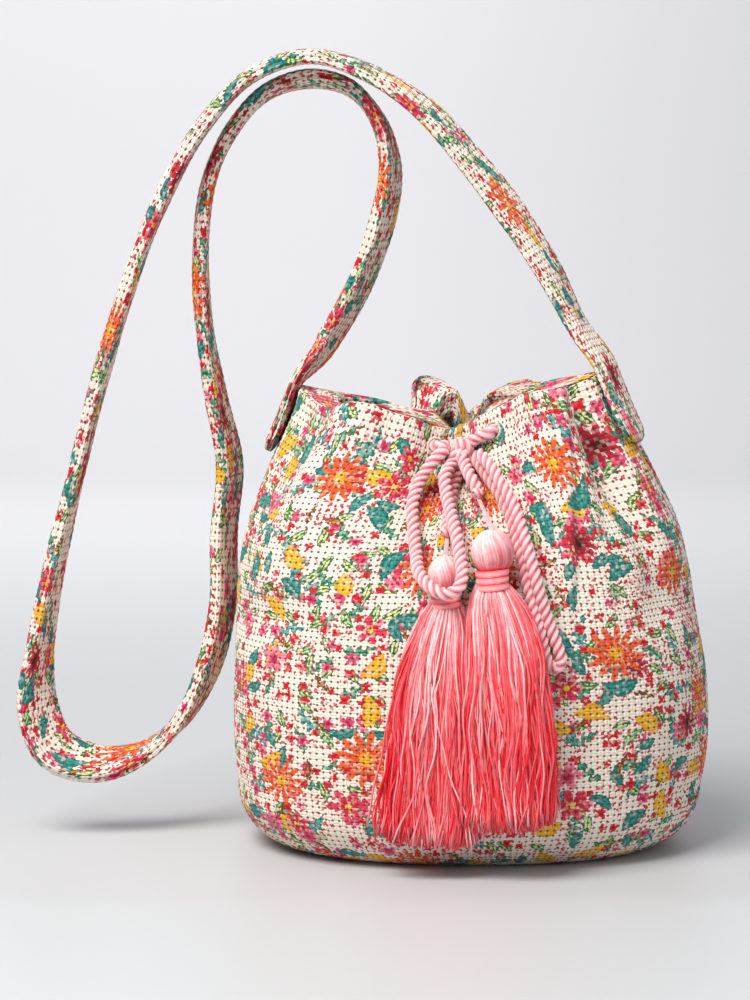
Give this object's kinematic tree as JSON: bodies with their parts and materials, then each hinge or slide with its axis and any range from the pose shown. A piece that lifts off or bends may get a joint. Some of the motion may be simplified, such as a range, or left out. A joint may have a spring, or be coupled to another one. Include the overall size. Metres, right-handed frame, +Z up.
{
  "type": "drawstring bucket bag",
  "caption": "Soft bucket bag of floral basket-weave canvas, gathered at the neck by a twisted drawcord tied in a bow with tassels, with a long shoulder strap.",
  "frame": {"origin": "middle of the round base's underside, on the surface that the bag stands on", "axes": "+Z up, -Y towards the front with the bow and tassels, +X to the right seen from the front"},
  "size_m": [0.3513, 0.2278, 0.4015],
  "materials": {
    "printed_canvas": "matt basket weave with a floral print in coral, pink, mustard and teal on cream",
    "strap_canvas": "the same printed basket weave, folded lengthwise and padded",
    "twisted_cord": "soft twisted cotton cord, pale pink",
    "tassel_yarn": "soft yarn with a slight sheen, pale pink to red"
  },
  "bodies": {
    "root": {"side_wall": "printed_canvas", "base_panel": "printed_canvas", "neck_facing": "printed_canvas", "shoulder_strap": "strap_canvas", "drawcord_ring": "twisted_cord", "bow_knot": "twisted_cord", "bow_loop_left": "twisted_cord", "bow_loop_right": "twisted_cord", "cord_tail_left": "twisted_cord", "cord_tail_right": "twisted_cord", "tassel_left": "tassel_yarn", "tassel_right": "tassel_yarn"}
  },
  "joints": []
}
